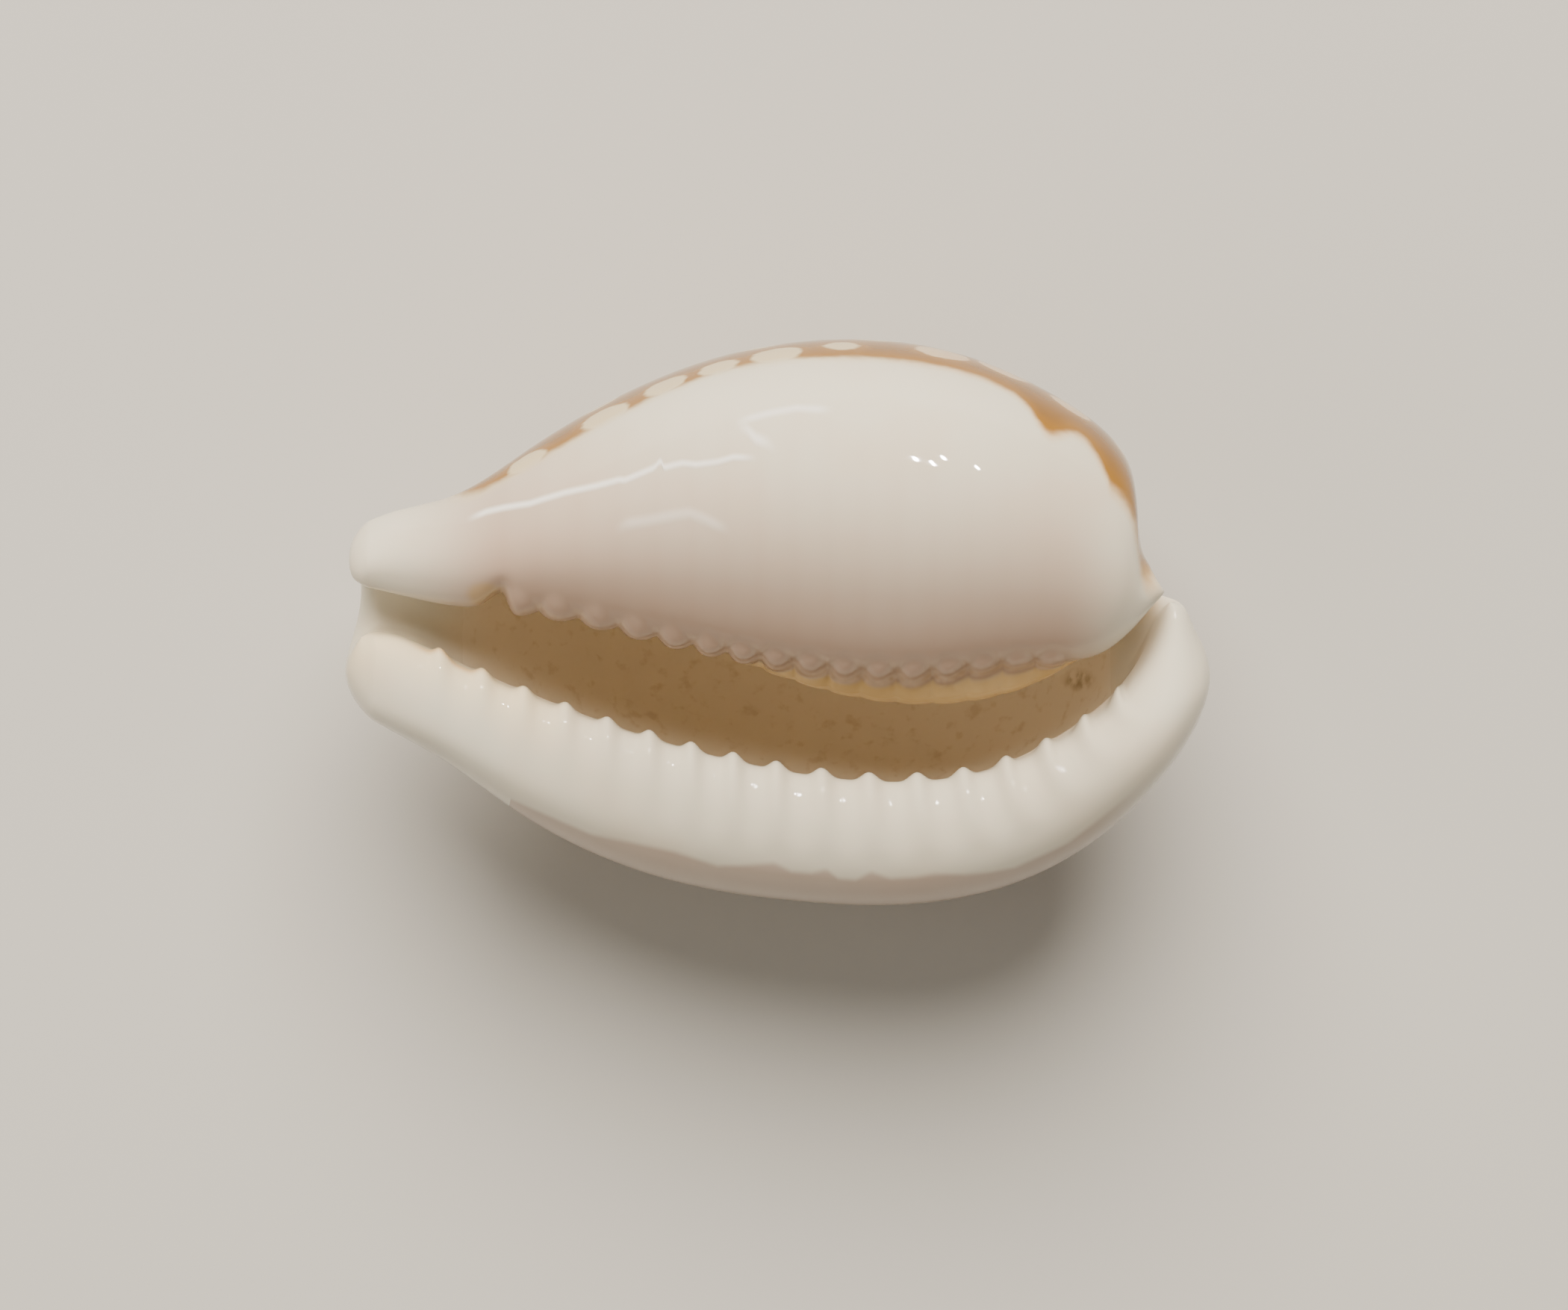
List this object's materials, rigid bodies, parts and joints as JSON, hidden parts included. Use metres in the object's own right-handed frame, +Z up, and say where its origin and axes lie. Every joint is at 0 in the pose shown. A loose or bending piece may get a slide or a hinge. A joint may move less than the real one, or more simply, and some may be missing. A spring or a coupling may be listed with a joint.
{
  "type": "cowrie shell",
  "caption": "Egg-shaped cowrie shell lying on its domed back, with a long curved aperture between two toothed lips and a short canal at each end.",
  "frame": {"origin": "bottom centre of the shell's box as it lies, on the surface that carries it", "axes": "+X along the shell from its front (siphon) end to its back (spire) end, +Y towards the columella side, +Z up, out of the toothed base"},
  "size_m": [0.0282, 0.0186, 0.0155],
  "materials": {
    "glazed_shell": "glossy natural enamel"
  },
  "bodies": {
    "root": {"shell": "glazed_shell"}
  },
  "joints": []
}
